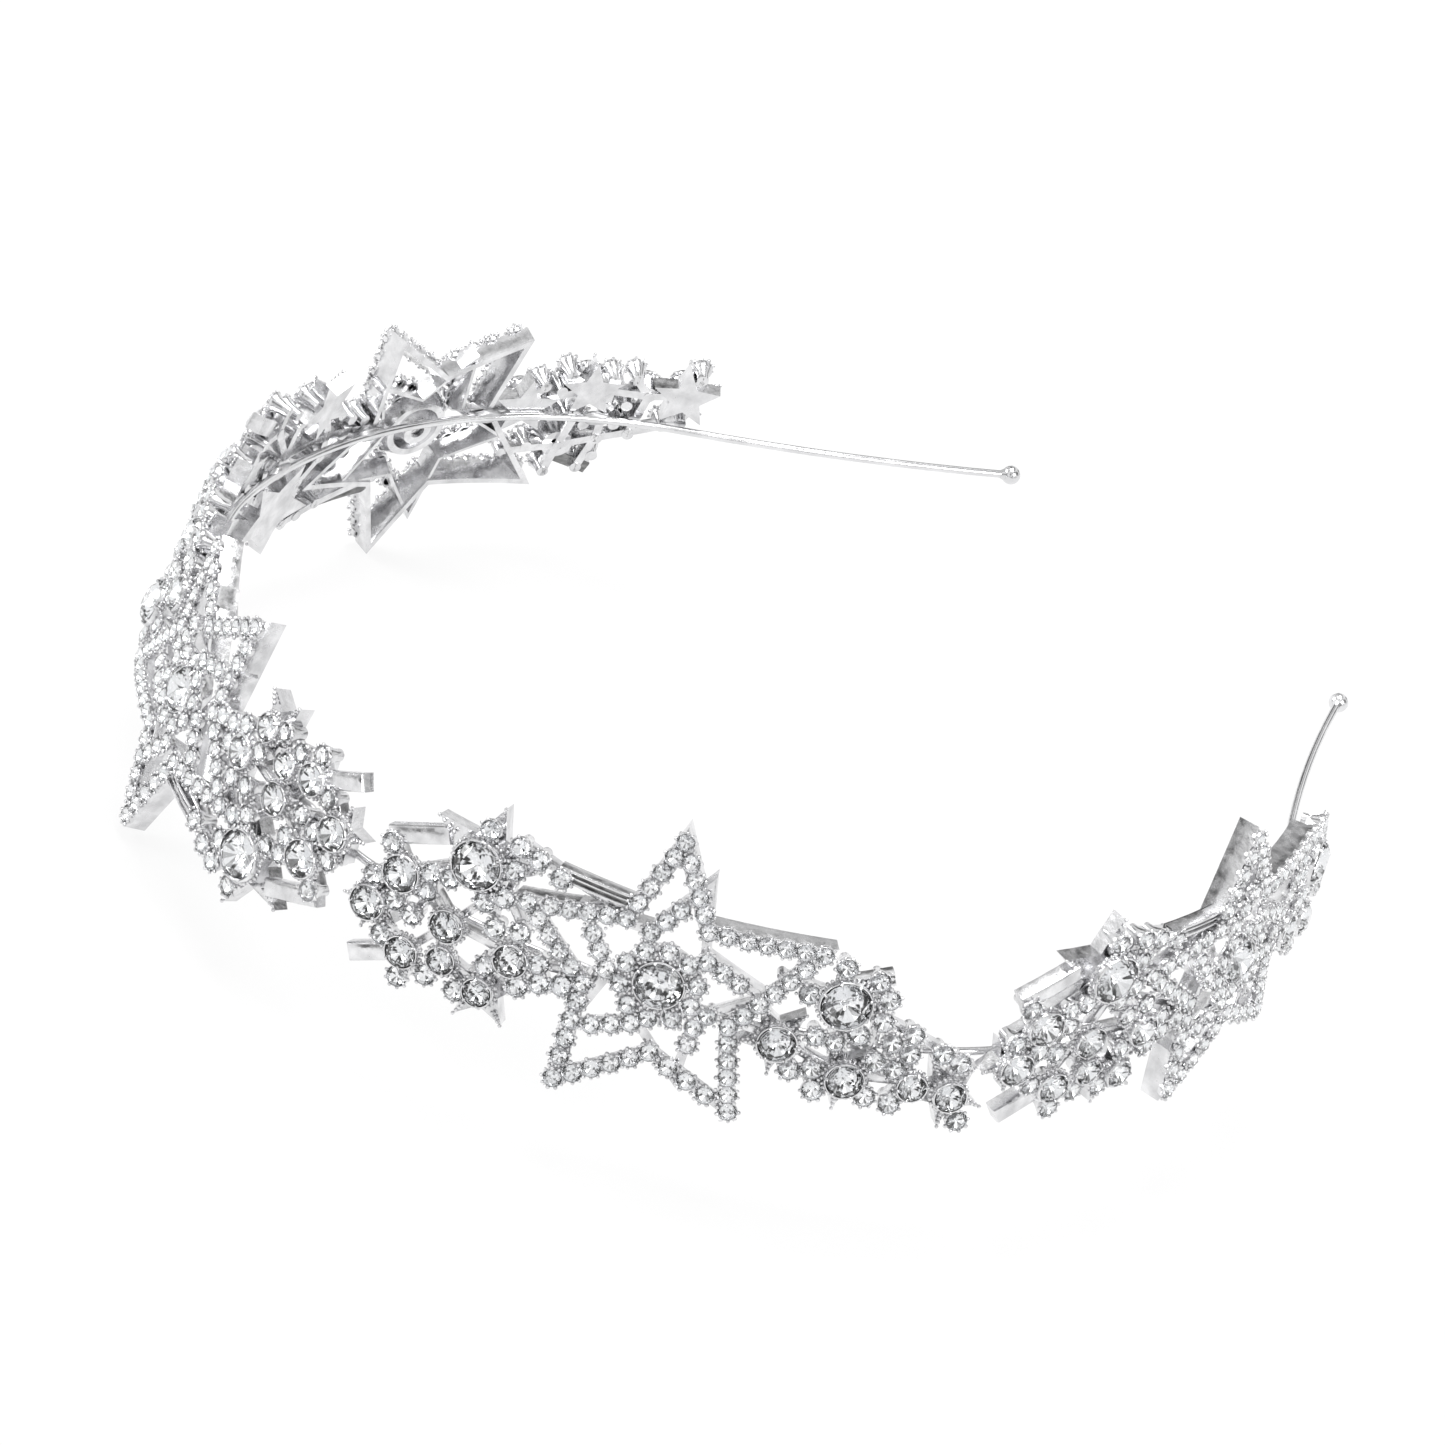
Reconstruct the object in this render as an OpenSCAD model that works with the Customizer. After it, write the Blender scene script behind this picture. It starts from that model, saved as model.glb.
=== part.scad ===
// Bridal tiara: a sprung wire band carrying four cast star plaques set with clear stones.
// The wire lies level, the opening faces +Y, the star plaques face outward, units are millimetres.

/* [Band wire] */
// Diameter of the sprung wire
wire_d = 1.0; // [0.8:0.05:1.4]
// Length of the bare tail beyond the right outer plaque
right_tail = 36.9; // [20:0.1:60]
// Length of the bare tail beyond the left outer plaque
left_tail = 45.2; // [20:0.1:60]
// Diameter of the ball on each wire end
ball_d = 2.5; // [1.8:0.1:4]
// Depth of the blind hole that takes the wire end in each ball
ball_bore = 1.5; // [0.8:0.1:2]

/* [Plaque] */
// Distance along the wire from one plaque centre to the next
pitch = 74.2; // [74:0.1:90]
// Depth of the casting from its back to the face of the star
cast_t = 3.2; // [2:0.1:5]
// Width of the bars of the large star
bar_w = 2.1; // [1.6:0.1:2.6]
// Width of the bars of the small interlaced star
inner_bar_w = 1.9; // [1.4:0.1:2.4]
// How far the small star stands proud of the large one
inner_rise = 0.25; // [0.1:0.05:1]
// How far the ring round the centre stone stands proud of the small star
ring_rise = 0.25; // [0.15:0.05:0.5]
// Height of the star centre above the wire
star_v = 3.2; // [0:0.1:6]
// Width of the polished tail bars
tail_w = 1.9; // [1:0.1:3]
// Width of the ribs that carry the wing settings
rib_w = 1.5; // [1:0.1:2.5]
// Wall left around every stone seat of the wings
cup_wall = 0.3; // [0.15:0.05:0.6]
// Wall of the cups that overhang the tips of the stars
tip_wall = 0.2; // [0.08:0.02:0.4]

/* [Stones] */
// Diameter of the stone at the star centre
centre_d = 5.4; // [4:0.1:7]
// Diameter of the two large chatons
large_d = 5.6; // [4:0.1:7]
// Diameter of the small pave stones
pave_d = 1.95; // [1.4:0.05:2.4]
// Spacing wanted between pave stones along a star bar
pave_step = 2.08; // [1.8:0.02:3]
// Distance from a star's tip to its last stone
tip_gap = 2.0; // [1.5:0.1:4]
// Radius of the pave ring around the star centre
ring_r = 4.3; // [3.9:0.05:6]
// Table width of a stone as a share of its diameter
table_share = 0.55; // [0.4:0.01:0.7]

/* [Solder] */
// Length of one solder joint along the wire
solder_len = 4.0; // [2:0.1:8]
// Width of a solder joint across the wire
solder_w = 2.0; // [1.4:0.1:3]

/* [Hidden] */

$fn = 32;

// colours: rhodium plate, solder and crystal
plate = [0.80, 0.81, 0.83];
solder_grey = [0.66, 0.67, 0.69];
crystal = [0.90, 0.94, 0.98];

// turn that brings the opening onto +Y, and the shift onto the resting plane
yaw = 7.6;
frame_shift = [3.21, -68.02, 21.94];

// the wire as [length, radius] arcs from the front outward; a negative radius turns back
join_len = 0.6;
join_extra = 0.02;
inner_run = 64;
outer_run = 67;
right_arcs = [[5.1, 34.6], [inner_run, 88.5], [10.3, 34.8], [outer_run, 71.9], [right_tail, -175]];
left_arcs = [[5.1, 33.6], [inner_run, 69.4], [10.3, 34.8], [outer_run, 65.8], [left_tail, -270]];

// plaque placings: [side, distance along the wire, bend radius, lean, height]
right_inner = [1, pitch / 2, right_arcs[1][1], 11.4, -0.13];
right_outer = [1, pitch * 1.5 + 1, right_arcs[3][1], 5.1, 2.0];
left_inner = [-1, pitch / 2 - 0.2, left_arcs[1][1], 12.4, 0.13];
left_outer = [-1, pitch * 1.5, left_arcs[3][1], 4.7, 0.83];

// stations on a plaque are [u, v]: u runs along the wire toward its ball, v across it
star_centre = [0, star_v];
big_tips = [[18.5, 12.6], [-2.1, 22.7], [-18.6, 7.3], [-8.7, -14.0], [12.4, -11.4]];
big_roots = [[4.0, 12.0], [-6.3, 10.4], [-9.0, -0.2], [1.35, -6.35], [9.6, 0.0]];
small_tips = [[13.4, 4.9], [2.9, 18.6], [-11.9, 9.6], [-9.8, -6.9], [5.4, -9.7]];
small_roots = [[4.9, 8.3], [-2.9, 9.9], [-6.6, 2.3], [-1.5, -3.2], [5.9, 0.0]];

// chatons of the wings as [u, v, diameter]
large_at = [[20.45, 6.3, large_d], [-23.3, 8.7, large_d]];
medium_at = [
    [14.2, -0.1, 4.1], [22.5, -3.1, 4.0], [30.1, -2.9, 3.1], [34.7, -3.7, 3.4],
    [-31.2, 3.2, 4.1], [-33.7, -2.1, 3.8], [-28.0, -5.5, 3.5], [-24.2, 0.0, 3.6],
    [-23.5, -4.2, 3.0], [-16.2, -0.5, 3.6], [-18.5, -5.8, 3.1]];

// single small stones of the wings
wing_pave = [
    [16.3, 6.6], [19.6, 10.6], [23.7, 9.6], [25.3, 7.5], [25.2, 4.7], [22.9, 2.6],
    [29.0, 3.5], [26.8, 2.2], [29.1, 1.1], [32.9, 1.5], [35.1, 0.5], [25.4, -0.4],
    [20.4, 1.3], [18.2, 1.6], [16.3, -3.1], [18.7, -2.5], [19.4, -5.1], [25.2, -4.9],
    [28.1, -5.4], [36.2, -6.8], [27.7, -1.0],
    [-23.3, 13.1], [-19.4, 12.7], [-16.9, 12.2], [-13.9, 11.2], [-19.1, 9.8],
    [-33.6, 5.9], [-27.7, 2.7], [-28.0, 4.9], [-25.8, 5.4], [-34.3, 1.2], [-30.95, -0.3],
    [-28.5, -0.9], [-31.0, -4.9], [-27.6, -8.6], [-24.7, -6.8], [-21.0, -7.0],
    [-21.2, 4.7], [-19.2, 6.2], [-16.3, 3.0], [-19.1, 2.2], [-13.2, 0.3], [-12.5, -1.9],
    [-14.7, -3.3], [-10.1, -1.1], [-18.7, -2.5]];

// ribs and polished bars as chains of stations
ribs = [
    [[13, 7.5], [20.4, 6.3], [29, 3.2], [35.2, 0.5]],
    [[6.5, 1.0], [14.2, -0.1], [22.5, -3.1], [30.1, -2.9], [34.7, -3.7], [36.2, -6.7]],
    [[19.6, 10.6], [20.4, 6.3], [22.5, -3.1], [19.4, -5.1]],
    [[23.7, 9.6], [25.0, 4.6], [25.2, -4.9]],
    [[29, 3.2], [30.1, -2.9], [28.0, -5.4]],
    [[14.2, -0.1], [16.3, -3.2]],
    [[-5, 9.5], [-13.9, 11.3], [-19.4, 12.6], [-23.3, 8.7], [-31.2, 3.2], [-33.7, -2.1]],
    [[-8, 0.5], [-16.2, -0.5], [-24.2, 0], [-28, -5.5], [-27.6, -8.6]],
    [[-16.2, -0.5], [-18.5, -5.8], [-23.5, -4.2], [-24.2, 0], [-21.3, 4.6], [-23.3, 8.7]],
    [[-16.2, -0.5], [-16.3, 3.0], [-19.2, 6.2], [-19.1, 9.8]],
    [[-23.3, 8.7], [-28, 4.4], [-27.7, 2.7], [-28.5, -0.9], [-33.7, -2.1]],
    [[-28, -5.5], [-31, -4.9], [-33.7, -2.1]],
    [[-31.2, 3.2], [-34.6, 1.2], [-33.7, -2.1]],
    [[-31.2, 3.2], [-33.9, 6.0]],
    [[-24.2, 0], [-27.7, 2.7]]];
tail_bars = [
    [[-34.6, 6.3], [-27.6, 9.9]],
    [[-34.1, -9.3], [-28, -5.6]],
    [[-14.5, 11.7], [-5.2, 11.4]],
    [[20.6, 8.4], [25.4, 10.1]]];

// small five-pointed stars behind chatons as [u, v, tip radius, turn]
star_seats = [
    [-23.3, 8.7, 7.2, 85], [-18.5, -5.8, 4.7, 28], [34.7, -3.7, 4.5, 51],
    [14.2, -0.1, 4.5, 54], [22.5, -3.1, 4.3, 50], [-33.7, -2.1, 3.6, 51]];

// heights above the back of the casting
cup_base = 0.8;
rib_t = 2.4;
bar_t = 2.9;
seat_t = 2.7;
inner_base = 0.25;
inner_top = cast_t + inner_rise;
ring_base = 0.35;
ring_top = inner_top + ring_rise;
pave_h = 0.3;
pave_gap = 0.08;
ring_turn = 17;
medium_top = cast_t + 0.6;
large_top = cast_t + 0.9;
girdle_h = 1.2;
crown_share = 0.24;
star_waist = 0.45;
solder_at = [-26, -9, 9, 24];
solder_share = 0.7;
groove_gap = 0.04;
tip_cup_proud = 0.06;
root_share = 1.25;
root_lap = 0.5;
row_try = 0.2;
knuckle_extra = 0.2;
knuckle_rise = 0.05;

// ---- band geometry ----
function reach(arcs, s, p = [0, 0], h = 0, i = 0) =
    let (len = arcs[i][0], r = arcs[i][1])
    let (a = min(s, len) / r * 180 / PI)
    let (q = [p[0] + r * (sin(h + a) - sin(h)), p[1] + r * (cos(h) - cos(h + a))])
    s <= len || i == len(arcs) - 1 ? [q[0], q[1], h + a] : reach(arcs, s - len, q, h + a, i + 1);

function arcs_of(side) = side > 0 ? right_arcs : left_arcs;
function run_of(arcs, i = 0) = i == len(arcs) ? 0 : arcs[i][0] + run_of(arcs, i + 1);

module in_frame() {
    translate(frame_shift) rotate([0, 0, yaw]) children();
}

module wire_arc(run, r) {
    a = run / abs(r) * 180 / PI;
    start = r > 0 ? -90 : 90 - a;
    translate([0, r, 0]) rotate([0, 0, start])
        rotate_extrude(angle = a, $fn = 96) translate([abs(r), 0]) circle(d = wire_d);
}

// one half of the band; a short straight sleeve closes the join in front of every arc
module wire_side(side) {
    arcs = arcs_of(side);
    mirror([side > 0 ? 0 : 1, 0, 0])
        for (i = [0:len(arcs) - 1]) {
            before = i == 0 ? 0 : run_of([for (k = [0:i - 1]) arcs[k]]);
            p = reach(arcs, before);
            translate([p[0], p[1], 0]) rotate([0, 0, p[2]]) {
                wire_arc(arcs[i][0], arcs[i][1]);
                rotate([0, 90, 0]) cylinder(d = wire_d + join_extra, h = join_len, center = true);
            }
        }
}

// a plaque's own frame at its star: X along the wire, Y across it, Z outward
module on_plaque(pl) {
    p = reach(arcs_of(pl[0]), pl[1]);
    in_frame() translate([pl[0] * p[0], p[1], 0]) rotate([0, 0, pl[0] * p[2]])
        rotate([90, 0, 0]) rotate([0, 0, pl[0] > 0 ? 0 : 180]) children();
}

// a station on the back of the casting, following the bend and the lean
module at(pl, p) {
    r = pl[2];
    a = p[0] / r * 180 / PI;
    translate([r * sin(a), 0, r * (cos(a) - 1)]) rotate([0, a, 0]) rotate([-pl[3] * pl[0], 0, 0])
        translate([0, p[1] + pl[4] * pl[0], wire_d / 2]) children();
}

// ---- plane geometry of the star ----
function unit(v) = v / norm(v);
function bisector(tip, a, b) = unit(unit(a - tip) + unit(b - tip));
function half_sin(tip, a, b) =
    let (d = bisector(tip, a, b), e = unit(a - tip)) abs(d[0] * e[1] - d[1] * e[0]);
function inset(tip, a, b, w) = tip + bisector(tip, a, b) * w / half_sin(tip, a, b);
function toward(p, q, w) = p + unit(q - p) * w;
function tip_stone(tip, a, b) = tip + bisector(tip, a, b) * tip_gap;
function inner_root(root, w) = toward(root, star_centre, root_share * w);
function steps(a, b) = max(1, floor(norm(b - a) / pave_step));
function row(a, b) = [for (i = [1:steps(a, b) - 1]) a + (b - a) * i / steps(a, b)];
function close_row(a, b) = [for (d = [0:row_try:norm(b - a)]) toward(a, b, d)];
function apart(p, others) = min([for (q = others) norm(p - q)]) > pave_d + pave_gap;

// keeps the stations that stand clear of every one kept before them
function thin(list, held, kept = [], i = 0) = i == len(list) ? kept
    : thin(list, held, apart(list[i], concat(held, kept)) ? concat(kept, [list[i]]) : kept, i + 1);

// every station of a list, kept once
function once(list) = [for (i = [0:len(list) - 1])
    if (i == 0 || min([for (k = [0:max(i - 1, 0)]) norm(list[k] - list[i])]) > 0) list[i]];

// the inner star's bars take a stone wherever one fits, tried from the root outward
function fill_pave(tips, roots, w) = [for (k = [0:4])
    let (a = roots[k], b = roots[(k + 4) % 5], t = tip_stone(tips[k], a, b))
    each concat(close_row(toward(a, star_centre, w / 2), t), close_row(toward(b, star_centre, w / 2), t))];

// pave stations along the centre lines of a star's bars
function star_pave(tips, roots, w) = [for (k = [0:4])
    let (a = roots[k], b = roots[(k + 4) % 5], t = tip_stone(tips[k], a, b))
    let (ca = toward(a, star_centre, w / 2), cb = toward(b, star_centre, w / 2))
    each concat([t, ca], row(t, ca), row(toward(t, cb, pave_step / 4), cb))];

ring_pave = [for (k = [0:9]) star_centre + ring_r * [cos(36 * k + ring_turn), sin(36 * k + ring_turn)]];
big_pave = star_pave(big_tips, big_roots, bar_w);
chatons = concat(large_at, medium_at);
function off_chatons(list) = [for (p = list)
    if (min([for (c = chatons) norm(p - [c[0], c[1]]) - c[2] / 2]) > (pave_d + cup_wall) / 2) p];
star_kept = thin(off_chatons(big_pave), ring_pave);
inner_kept = thin(off_chatons(fill_pave(small_tips, small_roots, inner_bar_w)), concat(ring_pave, star_kept));
wing_kept = thin(off_chatons(wing_pave), concat(star_kept, inner_kept));
function tip_stones(tips, roots, kept) = [for (k = [0:4])
    let (p = tip_stone(tips[k], roots[k], roots[(k + 4) % 5]))
    if (min([for (q = kept) norm(p - q)]) == 0) p];

// ---- parts of a casting ----
// one arm of a star: two straight bars meet in a point, and each laps the next arm's bar at its root
module star_arm(pl, tip, a, b, w, base, top) {
    mid = (tip + star_centre) / 2;
    vee = [tip, toward(a, tip, -root_lap), inner_root(a, w), inset(tip, a, b, w),
        inner_root(b, w), toward(b, tip, -root_lap)];
    at(pl, mid) translate([0, 0, base]) linear_extrude(top - base) polygon([for (q = vee) q - mid]);
}

module star_arms(pl, tips, roots, w, base, top) {
    for (k = [0:4]) star_arm(pl, tips[k], roots[k], roots[(k + 4) % 5], w, base, top);
}

// a straight bar between two stations
module bar(pl, a, b, w, top) {
    mid = (a + b) / 2;
    turn = atan2(b[1] - a[1], b[0] - a[0]);
    at(pl, mid) rotate([0, 0, turn]) linear_extrude(top) square([norm(b - a), w], center = true);
}

// bars from station to station, and one round knuckle at each station they share
module chains(pl, lists, w, top) {
    for (list = lists, i = [0:len(list) - 2]) bar(pl, list[i], list[i + 1], w, top);
    for (p = once([for (list = lists) each list]))
        at(pl, p) cylinder(d = w + knuckle_extra, h = top + knuckle_rise);
}

module small_star(pl, s) {
    at(pl, [s[0], s[1]]) linear_extrude(seat_t) polygon([for (k = [0:9])
        s[2] * (k % 2 == 0 ? 1 : star_waist) * [cos(s[3] + 36 * k), sin(s[3] + 36 * k)]]);
}

module cup(pl, p, d, top, wall = cup_wall) {
    at(pl, p) translate([0, 0, cup_base]) cylinder(d = d + 2 * wall, h = top - cup_base);
}

module tip_cup(pl, p, top) {
    cup(pl, p, pave_d, top + tip_cup_proud, tip_wall);
}

module seat(pl, p, d, top, depth) {
    at(pl, p) translate([0, 0, top - depth]) cylinder(d = d, h = depth + 1);
}

module casting(pl) {
    color(plate) on_plaque(pl) difference() {
        union() {
            star_arms(pl, big_tips, big_roots, bar_w, 0, cast_t);
            star_arms(pl, small_tips, small_roots, inner_bar_w, inner_base, inner_top);
            at(pl, star_centre) translate([0, 0, ring_base])
                cylinder(r = ring_r + pave_d / 2, h = ring_top - ring_base);
            cup(pl, star_centre, centre_d, medium_top);
            for (c = large_at) cup(pl, c, c[2], large_top);
            for (c = medium_at) cup(pl, c, c[2], medium_top);
            for (p = wing_kept) cup(pl, p, pave_d, cast_t);
            for (p = tip_stones(big_tips, big_roots, star_kept)) tip_cup(pl, p, cast_t);
            for (p = tip_stones(small_tips, small_roots, inner_kept)) tip_cup(pl, p, inner_top);
            for (s = star_seats) small_star(pl, s);
            chains(pl, ribs, rib_w, rib_t);
            chains(pl, tail_bars, tail_w, bar_t);
        }
        seat(pl, star_centre, centre_d, medium_top, girdle_h);
        for (c = large_at) seat(pl, c, c[2], large_top, girdle_h);
        for (c = medium_at) seat(pl, c, c[2], medium_top, girdle_h);
        for (p = concat(star_kept, wing_kept)) seat(pl, p, pave_d, cast_t, pave_h);
        for (p = inner_kept) seat(pl, p, pave_d, inner_top, pave_h);
        for (p = ring_pave) seat(pl, p, pave_d, ring_top, pave_h);
    }
}

// a round stone: girdle sunk in its seat, crown tapering to a flat table
module stone(pl, p, d, top, sunk) {
    at(pl, p) translate([0, 0, top - sunk]) {
        cylinder(d = d, h = sunk);
        translate([0, 0, sunk]) cylinder(d1 = d, d2 = d * table_share, h = d * crown_share);
    }
}

module centre_stone(pl) {
    color(crystal) on_plaque(pl) stone(pl, star_centre, centre_d, medium_top, girdle_h);
}

module large_chatons(pl) {
    color(crystal) on_plaque(pl) for (c = large_at) stone(pl, c, c[2], large_top, girdle_h);
}

module medium_chatons(pl) {
    color(crystal) on_plaque(pl) for (c = medium_at) stone(pl, c, c[2], medium_top, girdle_h);
}

module pave_stones(pl) {
    color(crystal) on_plaque(pl) {
        for (p = concat(star_kept, wing_kept)) stone(pl, p, pave_d, cast_t, pave_h);
        for (p = inner_kept) stone(pl, p, pave_d, inner_top, pave_h);
        for (p = ring_pave) stone(pl, p, pave_d, ring_top, pave_h);
    }
}

// solder bedding the wire against the back of the casting, grooved for the wire
module solder_joints(pl) {
    bed = wire_d * solder_share;
    color(solder_grey) on_plaque(pl) for (u = solder_at)
        at(pl, [u, -pl[4] * pl[0]]) difference() {
            translate([-solder_len / 2, -solder_w / 2, -bed]) cube([solder_len, solder_w, bed]);
            translate([-solder_len, 0, -wire_d / 2]) rotate([0, 90, 0])
                cylinder(d = wire_d + 2 * groove_gap, h = 2 * solder_len);
        }
}

// ---- pieces ----
module band_wire() {
    color(plate) in_frame() {
        wire_side(1);
        wire_side(-1);
    }
}

module ball_tip(side) {
    arcs = arcs_of(side);
    p = reach(arcs, run_of(arcs));
    color(plate) in_frame() translate([side * p[0], p[1], 0])
        rotate([0, 0, side > 0 ? p[2] : 180 - p[2]]) difference() {
            translate([ball_d / 2 - ball_bore, 0, 0]) sphere(d = ball_d);
            translate([-ball_d, 0, 0]) rotate([0, 90, 0]) cylinder(d = wire_d, h = ball_d);
        }
}

band_wire();
ball_tip(1);  // ball_tip_right
ball_tip(-1);  // ball_tip_left
casting(right_inner);  // right_inner_casting
centre_stone(right_inner);  // right_inner_centre_stone
large_chatons(right_inner);  // right_inner_large_chatons
medium_chatons(right_inner);  // right_inner_medium_chatons
pave_stones(right_inner);  // right_inner_pave_stones
solder_joints(right_inner);  // right_inner_solder_joints
casting(right_outer);  // right_outer_casting
centre_stone(right_outer);  // right_outer_centre_stone
large_chatons(right_outer);  // right_outer_large_chatons
medium_chatons(right_outer);  // right_outer_medium_chatons
pave_stones(right_outer);  // right_outer_pave_stones
solder_joints(right_outer);  // right_outer_solder_joints
casting(left_inner);  // left_inner_casting
centre_stone(left_inner);  // left_inner_centre_stone
large_chatons(left_inner);  // left_inner_large_chatons
medium_chatons(left_inner);  // left_inner_medium_chatons
pave_stones(left_inner);  // left_inner_pave_stones
solder_joints(left_inner);  // left_inner_solder_joints
casting(left_outer);  // left_outer_casting
centre_stone(left_outer);  // left_outer_centre_stone
large_chatons(left_outer);  // left_outer_large_chatons
medium_chatons(left_outer);  // left_outer_medium_chatons
pave_stones(left_outer);  // left_outer_pave_stones
solder_joints(left_outer);  // left_outer_solder_joints
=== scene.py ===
from math import ceil, cos, pi, radians, sin

import bmesh
import bpy
from mathutils import Matrix, Vector


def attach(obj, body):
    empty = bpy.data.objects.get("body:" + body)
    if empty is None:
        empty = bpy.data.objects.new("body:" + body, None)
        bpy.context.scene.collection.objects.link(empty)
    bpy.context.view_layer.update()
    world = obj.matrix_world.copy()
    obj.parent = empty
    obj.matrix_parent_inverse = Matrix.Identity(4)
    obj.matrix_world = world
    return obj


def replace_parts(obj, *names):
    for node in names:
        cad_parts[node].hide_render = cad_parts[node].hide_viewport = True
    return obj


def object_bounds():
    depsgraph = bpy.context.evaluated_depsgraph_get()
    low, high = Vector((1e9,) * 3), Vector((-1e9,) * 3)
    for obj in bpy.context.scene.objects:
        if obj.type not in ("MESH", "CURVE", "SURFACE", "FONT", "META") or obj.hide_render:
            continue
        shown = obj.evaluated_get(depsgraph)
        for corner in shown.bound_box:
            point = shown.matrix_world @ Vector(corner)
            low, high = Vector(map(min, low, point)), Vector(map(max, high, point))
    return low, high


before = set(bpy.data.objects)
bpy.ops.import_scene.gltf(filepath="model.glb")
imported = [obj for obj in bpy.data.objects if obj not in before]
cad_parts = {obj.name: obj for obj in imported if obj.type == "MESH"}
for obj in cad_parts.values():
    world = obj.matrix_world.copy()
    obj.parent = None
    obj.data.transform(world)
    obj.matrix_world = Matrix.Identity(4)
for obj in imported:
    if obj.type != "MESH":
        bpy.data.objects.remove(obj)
cad_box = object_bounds()

# ---- Band wire ----
# One length of hard drawn wire, bent over formers into a run of plain arcs and rhodium plated.
# The arcs are swept one after another from the front apex to each end.
MM = 0.001
WIRE_R = 0.5
WIRE_SIDES = 20
WIRE_STEP = radians(1.2)
WIRE_SEAM = 0.001
BAND_TURN = radians(7.6)
BAND_SHIFT = Vector((3.21, -68.02, 21.94))
# each arc is a length and a radius, and the last one of a tail springs outward
right_arcs = [(5.1, 34.6), (64, 88.5), (10.3, 34.8), (67, 71.9), (36.9, -175)]
left_arcs = [(5.1, 33.6), (64, 69.4), (10.3, 34.8), (67, 65.8), (45.2, -270)]
in_frame = Matrix.Scale(MM, 4) @ Matrix.Translation(BAND_SHIFT) @ Matrix.Rotation(BAND_TURN, 4, "Z")


def along_band(arcs, distance):
    """Place and heading of a point on one half of the wire, distance mm from the apex."""
    x, y, heading = 0.0, 0.0, 0.0
    for length, radius in arcs:
        swing = min(distance, length) / radius
        x += radius * (sin(heading + swing) - sin(heading))
        y += radius * (cos(heading) - cos(heading + swing))
        heading += swing
        distance -= length
        if distance <= 0:
            break
    return x, y, heading


def draw_wire(bm, side, arcs):
    """Sweeps a round section along the arcs of one half of the band."""
    section = bmesh.ops.create_circle(bm, segments=WIRE_SIDES, radius=WIRE_R,
                                      matrix=Matrix.Rotation(pi / 2, 4, "Y"))["verts"]
    geom = list(section) + list(dict.fromkeys(e for v in section for e in v.link_edges))
    x, y, heading = 0.0, 0.0, 0.0
    for length, radius in arcs:
        swing = length / radius
        centre = (side * (x - radius * sin(heading)), y + radius * cos(heading), 0)
        spun = bmesh.ops.spin(bm, geom=geom, cent=centre, axis=(0, 0, 1), dvec=(0, 0, 0),
                              angle=side * swing, steps=max(2, ceil(abs(swing) / WIRE_STEP)),
                              use_merge=False, use_duplicate=False)
        geom = spun["geom_last"]
        x += radius * (sin(heading + swing) - sin(heading))
        y += radius * (cos(heading) - cos(heading + swing))
        heading += swing
    bmesh.ops.contextual_create(bm, geom=[g for g in geom if isinstance(g, bmesh.types.BMEdge)])


def finish_piece(bm, name, materials, crease=35):
    """Turns a finished bmesh into an object, smooth except at edges over crease degrees."""
    mesh = bpy.data.meshes.new(name)
    bm.to_mesh(mesh)
    bm.free()
    for m in materials:
        mesh.materials.append(m)
    mesh.shade_smooth()
    mesh.set_sharp_from_angle(angle=radians(crease))
    piece = bpy.data.objects.new(name, mesh)
    bpy.context.scene.collection.objects.link(piece)
    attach(piece, "tiara")
    return piece


def node_material(name):
    """An empty node material with its shader, returned with its node tree."""
    material = bpy.data.materials.new(name)
    material.use_nodes = True
    tree = material.node_tree
    tree.nodes.clear()
    shader = tree.nodes.new("ShaderNodeBsdfPrincipled")
    output = tree.nodes.new("ShaderNodeOutputMaterial")
    tree.links.new(shader.outputs["BSDF"], output.inputs["Surface"])
    return material, tree, shader


def grain(tree, scale, detail, rough=0.5, stretch=(1, 1, 1)):
    """Noise on Object coordinates, scale in marks per metre."""
    place = tree.nodes.new("ShaderNodeTexCoord")
    mapping = tree.nodes.new("ShaderNodeMapping")
    mapping.inputs["Scale"].default_value = stretch
    noise = tree.nodes.new("ShaderNodeTexNoise")
    noise.inputs["Scale"].default_value = scale
    noise.inputs["Detail"].default_value = detail
    noise.inputs["Roughness"].default_value = rough
    tree.links.new(place.outputs["Object"], mapping.inputs["Vector"])
    tree.links.new(mapping.outputs["Vector"], noise.inputs["Vector"])
    return noise.outputs["Fac"]


def spread(tree, value, low, high, into, start=0.3, end=0.7):
    """Maps a pattern onto a socket, as a number or a grey between low and high."""
    ramp = tree.nodes.new("ShaderNodeMapRange")
    ramp.inputs["From Min"].default_value = start
    ramp.inputs["From Max"].default_value = end
    ramp.inputs["To Min"].default_value = low
    ramp.inputs["To Max"].default_value = high
    tree.links.new(value, ramp.inputs["Value"])
    tree.links.new(ramp.outputs["Result"], into)


def tint(tree, value, dark, light, into, start=0.3, end=0.7):
    """Maps a pattern onto a colour socket between two colours."""
    ramp = tree.nodes.new("ShaderNodeValToRGB")
    ramp.color_ramp.elements[0].position = start
    ramp.color_ramp.elements[1].position = end
    ramp.color_ramp.elements[0].color = (*dark, 1)
    ramp.color_ramp.elements[1].color = (*light, 1)
    tree.links.new(value, ramp.inputs["Fac"])
    tree.links.new(ramp.outputs["Color"], into)


def roughen(tree, value, strength, depth, shader):
    """Raises a pattern as a bump of the given depth in metres."""
    bump = tree.nodes.new("ShaderNodeBump")
    bump.inputs["Strength"].default_value = strength
    bump.inputs["Distance"].default_value = depth
    tree.links.new(value, bump.inputs["Height"])
    tree.links.new(bump.outputs["Normal"], shader.inputs["Normal"])


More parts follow.
